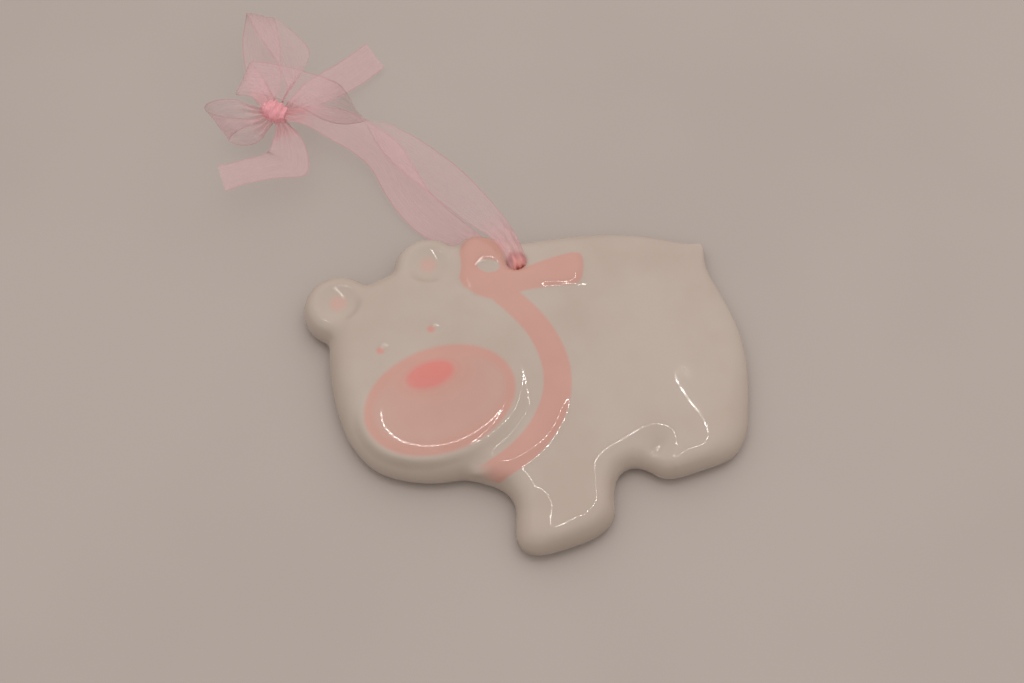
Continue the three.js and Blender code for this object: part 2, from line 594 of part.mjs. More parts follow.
addPiece('bear_casting', castingGeometry(), whiteGlaze);
addPiece('muzzle', muzzleGeometry(), pinkGlaze);
addPiece('nose', noseGeometry(), coralGlaze);
addPiece('left_eye', eyeGeometry(LEFT_EYE_AT), coralGlaze);
addPiece('right_eye', eyeGeometry(RIGHT_EYE_AT), coralGlaze);
addPiece('left_ear_centre', earCentreGeometry(LEFT_EAR_AT), blushGlaze);
addPiece('right_ear_centre', earCentreGeometry(RIGHT_EAR_AT), blushGlaze);
addPiece('neck_band', neckBandGeometry(), pinkGlaze);
addPiece('neck_bow', neckBowGeometry(), pinkGlaze);
addPiece('ribbon_front_strand', ribbonStrip(FRONT_STRAND.map(fromHole), 72), organza);
addPiece('ribbon_rear_strand', ribbonStrip(REAR_STRAND.map(fromHole), 44), organza);
addPiece('ribbon_knot', knotGeometry(), organza);
addPiece('bow_loop_upper', ribbonStrip(LOOP_UPPER.map(fromKnot), 36), organza);
addPiece('bow_loop_left', ribbonStrip(LOOP_LEFT.map(fromKnot), 30), organza);
addPiece('bow_tail_right', ribbonStrip(TAIL_RIGHT.map(fromKnot), 16), organza);
addPiece('bow_tail_lower', ribbonStrip(TAIL_LOWER.map(fromKnot), 18), organza);

export default ornament;
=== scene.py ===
# Polar bear ornament: a glazed ceramic plaque hung on a sheer pink ribbon, lying on a pale table.
import math

import bmesh
import bpy
import numpy as np
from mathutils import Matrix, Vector, noise
from mathutils.bvhtree import BVHTree
from mathutils.kdtree import KDTree


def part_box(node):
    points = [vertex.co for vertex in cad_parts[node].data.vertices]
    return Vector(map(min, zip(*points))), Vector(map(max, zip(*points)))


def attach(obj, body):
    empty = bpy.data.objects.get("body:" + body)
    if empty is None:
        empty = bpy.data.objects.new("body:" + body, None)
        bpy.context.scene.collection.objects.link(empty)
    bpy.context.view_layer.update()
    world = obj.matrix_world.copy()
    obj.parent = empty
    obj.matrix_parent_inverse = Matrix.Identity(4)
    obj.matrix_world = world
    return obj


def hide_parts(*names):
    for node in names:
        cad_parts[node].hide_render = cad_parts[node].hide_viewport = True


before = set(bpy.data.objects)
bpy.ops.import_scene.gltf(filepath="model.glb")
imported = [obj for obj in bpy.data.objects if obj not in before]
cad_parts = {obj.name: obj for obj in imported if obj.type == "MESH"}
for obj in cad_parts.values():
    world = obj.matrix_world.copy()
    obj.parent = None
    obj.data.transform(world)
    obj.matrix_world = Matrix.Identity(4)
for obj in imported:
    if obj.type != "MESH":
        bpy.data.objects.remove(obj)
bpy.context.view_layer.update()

MM = 0.001

# Sizes of the glazed bear, in metres, and its slopes.
SKIN_CELL = 0.45 * MM
FINE_CELLS_ROUND_EYE = 3 * MM
SEAT_CLOSING = 0.32 * MM
SKIN_WAVINESS = 0.03 * MM
CREASE_FILL = 0.9 * MM
SIDE_HEIGHT = 2.6 * MM
UPWARD_TILT = 0.05
RIM_BAND = 0.3 * MM
BODY_TOP = 8 * MM
LEGS_BELOW = 20 * MM
HIND_LEG_FROM = 12 * MM
CREST_SLOPE = math.radians(7.5)
NOSE_HALF = (7.1 * MM, 4.0 * MM)
NOSE_TILT = math.radians(-6)
NOSE_RISE = 0.6 * MM
MUZZLE_HALF = (18.0 * MM, 13.4 * MM)
MUZZLE_RISE = 0.65 * MM
MUZZLE_FLATNESS = 7
HEAD_TOP = 9.2 * MM
EAR_RIM = 8.15 * MM
EAR_DISH_RADIUS = 5.4 * MM
EAR_DISH_DEPTH = 0.75 * MM
EYE_RADIUS = 1.0 * MM
EYE_DEPTH = 0.19 * MM
EYE_SPREAD = 1.4
EYE_TOUCH_NEARER, EYE_TOUCH_LEFT = 0.25, 0.3
THIGH_RIDGE = (24.4 * MM, -27.6 * MM)
RIDGE_TURN = math.radians(14.5)
RUMP_SLOPE = math.radians(7)
HANGING_HOLE = Vector((6.3, 25.2, 6.6)) * MM

# Fades on the bear: where each one starts, and where it is full.
FACE_TILT, FACE_HEIGHT = (0.6, 0.9), (3 * MM, 5 * MM)
BOW_CRISP = (2.4 * MM, 0.8 * MM)
NECK_CALM = (6 * MM, 0)
THIGH_FALL, FRONT_LEG_FALL = (16 * MM, 0), (-21 * MM, -27 * MM)
STEEP_ARCH, STEEP_NOOK = (24 * MM, 19 * MM), (5 * MM, 1 * MM)
RUMP_REACH = (-5 * MM, 22 * MM)
MUZZLE_EDGE, MUZZLE_HEIGHT = (1.2, 1.02), (6 * MM, 7.5 * MM)
EAR_DISH_EDGE, EAR_DISH_HEIGHT = (5.9 * MM, 4.9 * MM), (4 * MM, 5.5 * MM)
MUZZLE_PINK = (1.3 * MM, 0.25 * MM)
TRIM_PINK = (0.85 * MM, 0.35 * MM)
BAND_START = (-29 * MM, -24 * MM)
NOSE_CORAL = (1.12, 0.68)
EAR_BLUSH, EAR_BLUSH_HEIGHT = (3 * MM, 0.9 * MM), (5 * MM, 6 * MM)
BARE_TILT, BARE_HEIGHT = (-0.8, -0.96), (1 * MM, 0.2 * MM)
HOLE_PINK, HOLE_PINK_HEIGHT = (3.1 * MM, 2.7 * MM), (7.8 * MM, 7.2 * MM)
POOL_AND_SHADE_HOLLOW, POOL_AND_SHADE_HEIGHT = (0.002 * MM, 0.02 * MM), (1 * MM, 4 * MM)
WAVE_HEIGHT = (2 * MM, 5 * MM)

# How strong each effect on the bear is where it is full.
BOW_CRISPNESS = 0.85
ARCH_STEEPNESS = 0.5
NOOK_STEEPNESS = 0.7
EAR_BLUSH_SHARE = 0.7
EYE_CORAL_SHARE = 0.62
HOLE_CORAL_SHARE = 0.7
RUMP_REACH_SHARE = 0.5

# Rounds of softening, each of which takes a point halfway to the middle of its neighbours.
CREASE_ROUNDS = 4
FACING_ROUNDS = 6
SKIN_ROUNDS = 10
FACE_ROUNDS = 16
CALM_ROUNDS = 150
FINISH_ROUNDS = 10
POOL_AND_SHADE_ROUNDS = 10

# Waves of the poured skin, for each metre.
BROAD_WAVES = 75
FINE_WAVES = 150
FINE_WAVES_SHARE = 0.5
FINE_WAVES_SHIFT = Vector((7, 3, 1))

# The ribbon's cloth. Pleats wander and slack cloth sways with the length in ribbon widths.
RIBBON_WIDTH = 10.5 * MM
PACKED_IN_HOLE = (2 * MM, 3.8 * MM)
CLOTH_CELL = 0.45 * MM
PLEAT_WANDER = 0.9
PLEAT_SHIFT = 5.0
SWAY_ACROSS = 0.35
SWAY_ALONG = 0.8
STEPS_BETWEEN_ROWS = 10
OPEN_WIDTH, GATHERED_WIDTH = 10.3, 3.4

# The light tent and the string of small lamps round its roof.
TENT_COLOUR = (1.0, 0.985, 0.97, 1)
TENT_WALL = 0.3
TENT_ROOF = 1.12
TENT_LEAN = math.radians(18)
LAMP_COLOUR = (1, 0.97, 0.93)
LAMP_SIZE = 0.012
LAMP_POWER = 0.026
LAMP_STEP_DEGREES = 5.6
RING_ARCS_DEGREES = ((-81, 82), (94, 127))
RING_ANGLE = math.radians(13.5)
RING_MIDDLE = Vector((4, -6, 8)) * MM
RING_DISTANCE = 1.3
TABLE_HALF = 12

# The photo's view: the plaque lies on its back and is seen from its near side,
# a little from the left.
VIEW_TURN = math.radians(28)
VIEW_LOOK = Vector((0.2131, 0.4008, -0.8910))
VIEW_FROM = Vector((-78.1, -131.2, 311.9)) * MM
VIEW_LENS, VIEW_SENSOR = 49.22, 36
NEAREST_SEEN = 0.01
TO_RIGHT = Vector((math.cos(VIEW_TURN), -math.sin(VIEW_TURN), 0))
TO_FAR = Vector((math.sin(VIEW_TURN), math.cos(VIEW_TURN), 0))
UP = Vector((0, 0, 1))


def srgb(red, green, blue):
    """An sRGB colour, 0 to 255, as a shader takes it."""
    def level(value):
        value /= 255
        return value / 12.92 if value <= 0.04045 else ((value + 0.055) / 1.055) ** 2.4
    return (level(red), level(green), level(blue), 1)


def ease(low, high, value):
    """0 below low, 1 above high and a smooth rise between them."""
    share = np.clip((value - low) / (high - low), 0, 1)
    return share * share * (3 - 2 * share)


# Node building

def add_node(tree, kind, **settings):
    node = tree.nodes.new(kind)
    for name, value in settings.items():
        setattr(node, name, value)
    return node


def feed(tree, target, value):
    """A number or colour goes on the socket, and an output is wired to it."""
    if isinstance(value, bpy.types.NodeSocket):
        tree.links.new(value, target)
    else:
        target.default_value = value


def pin(sockets, name):
    """The socket of that name that is in use."""
    return next(s for s in sockets if s.name == name and s.enabled)


def calc(tree, operation, *values, clamp=False):
    node = add_node(tree, "ShaderNodeMath", operation=operation, use_clamp=clamp)
    for slot, value in enumerate(values):
        feed(tree, node.inputs[slot], value)
    return node.outputs[0]


def vector_calc(tree, operation, *values):
    node = add_node(tree, "ShaderNodeVectorMath", operation=operation)
    vectors = [s for s in node.inputs if s.name == "Vector" and s.enabled]
    for slot, value in enumerate(values):
        target = pin(node.inputs, "Scale") if operation == "SCALE" and slot == 1 else vectors[slot]
        feed(tree, target, value)
    return next(s for s in node.outputs if s.enabled)


def blend_colour(tree, share, first, second):
    node = add_node(tree, "ShaderNodeMix", data_type="RGBA", blend_type="MIX")
    feed(tree, pin(node.inputs, "Factor"), share)
    feed(tree, pin(node.inputs, "A"), first)
    feed(tree, pin(node.inputs, "B"), second)
    return pin(node.outputs, "Result")


def spread(tree, value, low, high, to_low, to_high):
    """A value from low to high becomes one from to_low to to_high, with smooth ends."""
    node = add_node(tree, "ShaderNodeMapRange", interpolation_type="SMOOTHSTEP")
    ends = {"From Min": low, "From Max": high, "To Min": to_low, "To Max": to_high}
    for name, number in ends.items():
        pin(node.inputs, name).default_value = number
    feed(tree, pin(node.inputs, "Value"), value)
    return pin(node.outputs, "Result")


def grain(tree, vector, scale, detail=2.0, roughness=0.5):
    node = add_node(tree, "ShaderNodeTexNoise")
    feed(tree, node.inputs["Vector"], vector)
    feed(tree, node.inputs["Scale"], scale)
    node.inputs["Detail"].default_value = detail
    node.inputs["Roughness"].default_value = roughness
    return node.outputs[0]


def own_attribute(tree, name):
    return add_node(tree, "ShaderNodeAttribute", attribute_name=name).outputs["Fac"]


def new_group(name, inputs, outputs):
    """A shader group with named sockets. inputs are (name, socket kind, start value)."""
    group = bpy.data.node_groups.new(name, "ShaderNodeTree")
    for label, kind, start in inputs:
        socket = group.interface.new_socket(label, in_out="INPUT", socket_type=kind)
        if start is not None:
            socket.default_value = start
    for label in outputs:
        group.interface.new_socket(label, in_out="OUTPUT", socket_type="NodeSocketFloat")
    given = add_node(group, "NodeGroupInput").outputs
    made = add_node(group, "NodeGroupOutput").inputs
    return group, given, made


def place_group(tree, group, **values):
    node = add_node(tree, "ShaderNodeGroup", node_tree=group)
    for name, value in values.items():
        feed(tree, node.inputs[name.replace("_", " ")], value)
    return node.outputs


def new_material(name):
    material = bpy.data.materials.new(name)
    material.use_nodes = True
    tree = material.node_tree
    shader = next(n for n in tree.nodes if n.type == "BSDF_PRINCIPLED")
    return material, tree, shader


# Materials

# Colours that cloud over the surface go from the first to the second.
WHITE = srgb(185, 167, 153), srgb(190, 173, 160)
PINK = srgb(199, 147, 133), srgb(203, 154, 140)
CORAL = srgb(216, 124, 114), srgb(214, 134, 124)
BARE_CLAY = srgb(196, 178, 160), srgb(208, 192, 176)
TABLE_TOP = srgb(178, 165, 157), srgb(183, 170, 162)
BLUSH = srgb(206, 160, 147)
# Pooled glaze in the hollows, darkened further as painted shade in the creases.
POOLED_GLAZE_AND_CREASE_SHADE = srgb(170, 150, 135)
PIN_MARK = srgb(150, 122, 104)
SELVEDGE = srgb(194, 138, 140)
PACKED_CLOTH = srgb(248, 172, 164)


def glaze_surface_group():
    """What a poured gloss glaze shows: cloudy tint, a slow ripple and a few pin marks."""
    group, given, made = new_group(
        "glaze_surface",
        [("Vector", "NodeSocketVector", None), ("Cloud Scale", "NodeSocketFloat", 55.0),
         ("Ripple Scale", "NodeSocketFloat", 190.0), ("Mark Scale", "NodeSocketFloat", 95.0)],
        ["Cloud", "Ripple", "Marks"])
    feed(group, made["Cloud"], grain(group, given["Vector"], given["Cloud Scale"], 3.0))
    feed(group, made["Ripple"], grain(group, given["Vector"], given["Ripple Scale"], 1.0))
    cells = add_node(group, "ShaderNodeTexVoronoi", feature="F1")
    feed(group, cells.inputs["Vector"], given["Vector"])
    feed(group, cells.inputs["Scale"], given["Mark Scale"])
    dot = spread(group, cells.outputs["Distance"], 0.015, 0.035, 1.0, 0.0)
    tint = add_node(group, "ShaderNodeSeparateColor")
    feed(group, tint.inputs[0], cells.outputs["Color"])
    rare = spread(group, tint.outputs[0], 0.8, 0.84, 0.0, 1.0)
    feed(group, made["Marks"], calc(group, "MULTIPLY", dot, rare))
    return group


def glaze_material(surface):
    """Warm white, with the pink, coral and blush fields sprayed on under the clear gloss."""
    material, tree, shader = new_material("bear_glaze")
    place = add_node(tree, "ShaderNodeTexCoord").outputs["Object"]
    coat = place_group(tree, surface, Vector=place)
    white = blend_colour(tree, spread(tree, coat["Cloud"], 0.35, 0.68, 0.0, 1.0), *WHITE)
    # Darker beige in the hollows: pooled glaze, and painted shade in the creases.
    pooled_and_crease_shade = calc(tree, "MULTIPLY", own_attribute(tree, "pooled_and_crease_shade"), 0.45)
    white = blend_colour(tree, pooled_and_crease_shade, white, POOLED_GLAZE_AND_CREASE_SHADE)
    cloudy = spread(tree, coat["Cloud"], 0.3, 0.7, 0.0, 1.0)
    pink = blend_colour(tree, cloudy, *PINK)
    coral = blend_colour(tree, cloudy, *CORAL)
    colour = blend_colour(tree, own_attribute(tree, "blush"), white, BLUSH)
    colour = blend_colour(tree, own_attribute(tree, "pink"), colour, pink)
    colour = blend_colour(tree, own_attribute(tree, "coral"), colour, coral)
    colour = blend_colour(tree, calc(tree, "MULTIPLY", coat["Marks"], 0.35), colour, PIN_MARK)
    bare = own_attribute(tree, "bare")
    clay = blend_colour(tree, grain(tree, place, 900.0, 4.0), *BARE_CLAY)
    feed(tree, shader.inputs["Base Color"], blend_colour(tree, bare, colour, clay))
    gloss = spread(tree, coat["Cloud"], 0.3, 0.7, 0.04, 0.06)
    feed(tree, shader.inputs["Roughness"], calc(tree, "MULTIPLY_ADD", bare, 0.55, gloss))
    shader.inputs["IOR"].default_value = 1.52
    bump = add_node(tree, "ShaderNodeBump")
    bump.inputs["Strength"].default_value = 0.35
    bump.inputs["Distance"].default_value = 0.05 * MM
    feed(tree, bump.inputs["Height"], coat["Ripple"])
    feed(tree, shader.inputs["Normal"], bump.outputs[0])
    return material


def sheer_weave_group():
    """Fine crossing threads and the two denser selvedges, on a UV of ribbon widths."""
    group, given, made = new_group(
        "sheer_weave",
        [("Vector", "NodeSocketVector", None), ("Threads", "NodeSocketFloat", 30.0),
         ("Selvedge", "NodeSocketFloat", 0.035)],
        ["Weave", "Edge", "Slub"])
    split = add_node(group, "ShaderNodeSeparateXYZ")
    feed(group, split.inputs[0], given["Vector"])
    pitch = calc(group, "MULTIPLY", given["Threads"], math.tau)
    rows = []
    for axis in (0, 1):
        turns = calc(group, "MULTIPLY", split.outputs[axis], pitch)
        rows.append(calc(group, "MULTIPLY_ADD", calc(group, "SINE", turns), 0.5, 0.5))
    feed(group, made["Weave"], calc(group, "MAXIMUM", *rows))
    from_middle = calc(group, "ABSOLUTE", calc(group, "SUBTRACT", split.outputs[0], 0.5))
    near = calc(group, "DIVIDE", calc(group, "SUBTRACT", 0.5, from_middle), given["Selvedge"])
    feed(group, made["Edge"], spread(group, near, 0.7, 1.3, 1.0, 0.0))
    stretched = vector_calc(group, "MULTIPLY", given["Vector"], (26.0, 1.4, 1.0))
    feed(group, made["Slub"], grain(group, stretched, 1.0, 2.0))
    return group


def organza_material(name, weave, open_alpha, gathered_alpha, tint, dense, bright):
    """Sheer pink cloth, see-through where it lies open and denser in gathers and selvedges."""
    material, tree, shader = new_material(name)
    along = add_node(tree, "ShaderNodeUVMap", uv_map="UVMap").outputs[0]
    cloth = place_group(tree, weave, Vector=along)
    gather = own_attribute(tree, "gather")
    thread = spread(tree, cloth["Weave"], 0.2, 1.0, 0.9, 1.06)
    slub = spread(tree, cloth["Slub"], 0.3, 0.7, 0.94, 1.06)
    alpha = calc(tree, "MULTIPLY", calc(tree, "MULTIPLY", thread, slub),
                 spread(tree, gather, 0.0, 1.0, open_alpha, gathered_alpha))
    alpha = calc(tree, "MULTIPLY_ADD", cloth["Edge"], 0.2, alpha)
    colour = blend_colour(tree, cloth["Slub"], tint, bright)
    colour = blend_colour(tree, spread(tree, gather, 0.15, 1.0, 0.0, 1.0), colour, dense)
    colour = blend_colour(tree, calc(tree, "MULTIPLY", cloth["Edge"], 0.8), colour, SELVEDGE)
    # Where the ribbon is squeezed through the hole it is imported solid.
    place = add_node(tree, "ShaderNodeTexCoord").outputs["Object"]
    from_hole = vector_calc(tree, "DISTANCE", place, tuple(HANGING_HOLE))
    packed = spread(tree, from_hole, *PACKED_IN_HOLE, 1.0, 0.0)
    colour = blend_colour(tree, packed, colour, PACKED_CLOTH)
    alpha = calc(tree, "MULTIPLY_ADD", packed, 0.45, alpha, clamp=True)
    # The fine threads scatter light on through the cloth, so that its shadow is faint.
    ray = add_node(tree, "ShaderNodeLightPath").outputs
    passed = calc(tree, "MAXIMUM", ray["Is Shadow Ray"], ray["Is Diffuse Ray"])
    alpha = calc(tree, "MULTIPLY", alpha, spread(tree, passed, 0.0, 1.0, 1.0, 0.2))
    feed(tree, shader.inputs["Base Color"], colour)
    feed(tree, shader.inputs["Alpha"], alpha)
    feed(tree, shader.inputs["Roughness"], spread(tree, cloth["Weave"], 0.0, 1.0, 0.5, 0.36))
    shader.inputs["Sheen Weight"].default_value = 0.25
    shader.inputs["Sheen Roughness"].default_value = 0.4
    bump = add_node(tree, "ShaderNodeBump")
    bump.inputs["Strength"].default_value = 0.15
    bump.inputs["Distance"].default_value = 0.1 * MM
    feed(tree, bump.inputs["Height"], cloth["Weave"])
    feed(tree, shader.inputs["Normal"], bump.outputs[0])
    return material


def table_material():
    material, tree, shader = new_material("table_top")
    place = add_node(tree, "ShaderNodeTexCoord").outputs["Object"]
    cloud = grain(tree, place, 9.0, 3.0)
    colour = blend_colour(tree, spread(tree, cloud, 0.35, 0.65, 0.0, 1.0), *TABLE_TOP)
    feed(tree, shader.inputs["Base Color"], colour)
    feed(tree, shader.inputs["Roughness"], spread(tree, cloud, 0.3, 0.7, 0.5, 0.62))
    return material


# The glazed bear

EYES = ("left_eye", "right_eye")
EAR_CENTRES = ("left_ear_centre", "right_ear_centre")
CERAMIC = ("bear_casting", "muzzle", "nose", *EYES, *EAR_CENTRES, "neck_band", "neck_bow")


def merged_node(name):
    shape = bmesh.new()
    shape.from_mesh(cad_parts[name].data)
    bmesh.ops.remove_doubles(shape, verts=shape.verts, dist=1e-6)
    shape.normal_update()
    return shape


def new_object(name, data):
    made = bpy.data.objects.new(name, data)
    bpy.context.scene.collection.objects.link(made)
    return made


def plain_mesh(piece):
    """Turns a piece with modifiers into its finished mesh."""
    bpy.context.view_layer.update()
    ready = piece.evaluated_get(bpy.context.evaluated_depsgraph_get())
    mesh = bpy.data.meshes.new_from_object(ready)
    piece.modifiers.clear()
    old, piece.data = piece.data, mesh
    bpy.data.meshes.remove(old)
    mesh.name = piece.name
    return piece


def skin(piece):
    """Even cells over everything that the piece holds, with what lies inside left out."""
    layer = piece.modifiers.new("skin", "REMESH")
    layer.mode = "VOXEL"
    layer.voxel_size = SKIN_CELL
    return plain_mesh(piece)


def one_clay_body():
    """The casting and its inlays run together under one skin."""
    whole = bmesh.new()
    for name in CERAMIC:
        shape = merged_node(name)
        if name != "bear_casting":
            for v in shape.verts:
                v.co += Vector((v.normal.x, v.normal.y, min(v.normal.z, 0))) * SEAT_CLOSING
        mesh = bpy.data.meshes.new(name + "_copy")
        shape.to_mesh(mesh)
        shape.free()
        whole.from_mesh(mesh)
        bpy.data.meshes.remove(mesh)
    mesh = bpy.data.meshes.new("glazed_bear")
    whole.to_mesh(mesh)
    whole.free()
    return skin(new_object("glazed_bear", mesh))


def read_skin(mesh):
    """The skin's points, the two ends of each edge and how many neighbours a point has."""
    points = np.empty(len(mesh.vertices) * 3)
    mesh.vertices.foreach_get("co", points)
    ends = np.empty(len(mesh.edges) * 2, int)
    mesh.edges.foreach_get("vertices", ends)
    ends = ends.reshape(-1, 2)
    count = np.bincount(ends.ravel(), minlength=len(mesh.vertices))[:, None]
    return points.reshape(-1, 3), ends, count


def write_skin(mesh, points):
    mesh.vertices.foreach_set("co", points.ravel())
    mesh.update()


def neighbour_mean(values, ends, count):
    total = np.zeros_like(values)
    for axis in range(values.shape[1]):
        total[:, axis] = (np.bincount(ends[:, 0], values[ends[:, 1], axis], len(values))
                          + np.bincount(ends[:, 1], values[ends[:, 0], axis], len(values)))
    return total / count


def soften(points, ends, count, rounds, where=1.0):
    for _ in range(rounds):
        points += 0.5 * where * (neighbour_mean(points, ends, count) - points)


def facing(mesh, ends, count):
    """Which way the skin faces at each point, evened out between neighbours."""
    normals = np.empty(len(mesh.vertices) * 3)
    mesh.vertices.foreach_get("normal", normals)
    normals = normals.reshape(-1, 3)
    soften(normals, ends, count, FACING_ROUNDS)
    return normals / np.linalg.norm(normals, axis=1)[:, None]


def fill_creases(piece):
    """Glaze runs into every crease: the skin is swelled, skinned again and drawn back."""
    for distance in (CREASE_FILL, -CREASE_FILL):
        points, ends, count = read_skin(piece.data)
        soften(points, ends, count, CREASE_ROUNDS)
        write_skin(piece.data, points)
        write_skin(piece.data, points + facing(piece.data, ends, count) * distance)
        if distance > 0:
            skin(piece)


def near_node(points, name, reach):
    """How far each point is from a node's surface, up to reach."""
    tree = BVHTree.FromBMesh(merged_node(name))
    low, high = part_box(name)
    away = np.full(len(points), reach)
    close = np.all((points > np.array(low) - reach) & (points < np.array(high) + reach), axis=1)
    for i in np.nonzero(close)[0]:
        found = tree.find_nearest(Vector(points[i]), reach)
        if found[0] is not None:
            away[i] = found[3]
    return away


def keep_mask(mesh, name, values):
    kept = mesh.attributes.new(name, "FLOAT", "POINT")
    kept.data.foreach_set("value", values.astype(np.float32))


def plan_distance(points, place):
    return np.hypot(points[:, 0] - place[0], points[:, 1] - place[1])


def oval_distance(points, place, half, tilt):
    """Plan distance from an oval's middle, which is 1 on the oval."""
    x, y = points[:, 0] - place[0], points[:, 1] - place[1]
    return np.hypot((x * math.cos(tilt) + y * math.sin(tilt)) / half[0],
                    (y * math.cos(tilt) - x * math.sin(tilt)) / half[1])


# The edge of the flat above the two legs and left of the thigh's ridge, in mm.
# Outside it the broad shoulders fall to the outline.
LEG_FLATS = [
    (-22.6, -22), (-22.1, -26.2), (-19.6, -29), (-17, -31), (-16.4, -33.5), (-16.6, -36),
    (-17.2, -37.8), (-18.8, -39.5), (-19.3, -40.5), (-18.6, -41.1), (-17.3, -41.3),
    (-14.9, -41.1), (-12.8, -41.4), (-11.1, -41.3), (-9.2, -40.6), (-8.1, -39.8), (-6.9, -37.1),
    (-5.2, -33.7), (-4, -31.4), (-2.3, -30.2), (0.8, -29.2), (7, -28.9), (10.6, -28.6),
    (14.6, -29.3), (16.9, -31), (18, -33), (18.1, -34.6), (17.3, -36.4), (16.2, -38.2),
    (15.5, -39.4), (16, -40.2), (18.2, -40.1), (19.8, -39.8), (21.7, -39.2), (23, -38.2),
    (23.6, -36.8), (23.6, -34.2), (23.5, -31.2), (23.3, -27.6), (23, -23.4), (22.4, -19.6),
    (21.4, -16), (18.2, -6), (15.2, 5.6), (11.4, 20), (-22.6, 20)]

# Where the thigh meets the arch between the legs the clay falls away faster.
LEG_NOOK = Vector((12.6, -35, 8)) * MM

# Where the band and the head run into each other with hardly any relief, in mm.
CALM_NECK = [
    (-4, 17), (3.5, 15.5), (8.5, 4), (6.5, -8), (-3, -10), (-11, -6), (-8, 6), (-6, 13)]


def outside_by(points, corners):
    """How far each point lies outside a closed outline in plan, and 0 inside it."""
    corners = np.array(corners) * MM
    place = points[:, :2]
    away = np.full(len(points), np.inf)
    inside = np.zeros(len(points), bool)
    for a, b in zip(corners, np.roll(corners, -1, axis=0)):
        along = np.clip((place - a) @ (b - a) / ((b - a) @ (b - a)), 0, 1)
        away = np.minimum(away, np.linalg.norm(place - a - along[:, None] * (b - a), axis=1))
        crosses = (a[1] > place[:, 1]) != (b[1] > place[:, 1])
        rise = b[1] - a[1] if b[1] != a[1] else 1
        inside ^= crosses & (place[:, 0] < a[0] + (place[:, 1] - a[1]) * (b[0] - a[0]) / rise)
    return np.where(inside, 0, away)


def middle_of(node):
    return sum(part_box(node), Vector()) / 2


def on_the_face(points, normals):
    """1 on the decorated face, and 0 on the sides and the back."""
    return ease(*FACE_TILT, normals[:, 2]) * ease(*FACE_HEIGHT, points[:, 2])


def low_relief(points):
    """The muzzle is a low flat mound, the nose a swelling on it and each ear a shallow dish."""
    away = oval_distance(points, middle_of("muzzle"), MUZZLE_HALF, 0)
    nose = oval_distance(points, middle_of("nose"), NOSE_HALF, NOSE_TILT)
    mound = (HEAD_TOP + MUZZLE_RISE * np.clip(1 - away ** MUZZLE_FLATNESS, 0, 1)
             + NOSE_RISE * np.exp(-nose ** 2))
    share = ease(*MUZZLE_EDGE, away) * ease(*MUZZLE_HEIGHT, points[:, 2])
    points[:, 2] += (mound - points[:, 2]) * share
    for node in EAR_CENTRES:
        away = plan_distance(points, middle_of(node))
        dish = EAR_RIM - EAR_DISH_DEPTH * (1 - (away / EAR_DISH_RADIUS) ** 2)
        share = ease(*EAR_DISH_EDGE, away) * ease(*EAR_DISH_HEIGHT, points[:, 2])
        points[:, 2] += (dish - points[:, 2]) * share


def broad_shoulders(points, normals):
    """Lowers the face of the legs from the edge of their flat to the outline."""
    at_rim = np.abs(points[:, 2] - SIDE_HEIGHT) < RIM_BAND
    rim = points[at_rim & (points[:, 1] < LEGS_BELOW)]
    tree = KDTree(len(rim))
    for i, place in enumerate(rim):
        tree.insert((place[0], place[1], 0), i)
    tree.balance()
    amount = np.where(points[:, 0] > HIND_LEG_FROM,
                      ease(*THIGH_FALL, points[:, 1]), ease(*FRONT_LEG_FALL, points[:, 1]))
    upward = (points[:, 2] > SIDE_HEIGHT) & (normals[:, 2] > UPWARD_TILT)
    legs = np.nonzero((amount > 0) & upward)[0]
    leg_points = points[legs]
    past = outside_by(leg_points, LEG_FLATS)
    to_rim = np.array([tree.find((x, y, 0))[2] for x, y, _ in leg_points])
    share = past / (past + to_rim + 1e-9)
    to_nook = plan_distance(leg_points, LEG_NOOK)
    steeper = (1 + ARCH_STEEPNESS * ease(*STEEP_ARCH, leg_points[:, 0])
               + NOOK_STEEPNESS * ease(*STEEP_NOOK, to_nook))
    fall = np.maximum(past * np.tan(CREST_SLOPE * steeper),
                      (BODY_TOP - SIDE_HEIGHT) * (1 - np.sqrt(1 - share ** 2)))
    points[legs, 2] += np.minimum(BODY_TOP - fall - leg_points[:, 2], 0) * amount[legs]


def reach_of_rump(points):
    """Where the rump slopes down, its far edge lies a little further out."""
    past = ((points[:, 0] - THIGH_RIDGE[0]) * math.cos(RIDGE_TURN)
            + (points[:, 1] - THIGH_RIDGE[1]) * math.sin(RIDGE_TURN))
    reach = RUMP_REACH_SHARE * math.tan(RUMP_SLOPE) * np.maximum(past, 0)
    reach *= ease(*RUMP_REACH, points[:, 1])
    points += reach[:, None] * np.array(TO_FAR)


def shape_face(mesh):
    """The relief of the face is low and soft, and hardly there at the back of the head."""
    points, ends, count = read_skin(mesh)
    soften(points, ends, count, SKIN_ROUNDS)
    write_skin(mesh, points)
    normals = facing(mesh, ends, count)
    on_face = on_the_face(points, normals)
    crisp = BOW_CRISPNESS * ease(*BOW_CRISP, near_node(points, "neck_bow", BOW_CRISP[0]))
    soft = (on_face * (1 - crisp))[:, None]
    soften(points, ends, count, FACE_ROUNDS, soft)
    calm = on_face * ease(*NECK_CALM, outside_by(points, CALM_NECK))
    soften(points, ends, count, CALM_ROUNDS, calm[:, None])
    low_relief(points)
    broad_shoulders(points, normals)
    soften(points, ends, count, FINISH_ROUNDS, soft)
    reach_of_rump(points)
    write_skin(mesh, points)


def finer_cells(mesh, places, reach):
    """Splits the skin's cells near the given places of the face twice."""
    shape = bmesh.new()
    shape.from_mesh(mesh)
    for _ in range(2):
        near = [e for e in shape.edges if all(
            v.co.z > BODY_TOP and min((v.co - p).xy.length for p in places) < reach
            for v in e.verts)]
        bmesh.ops.subdivide_edges(shape, edges=near, cuts=1, use_grid_fill=True)
    shape.to_mesh(mesh)
    shape.free()


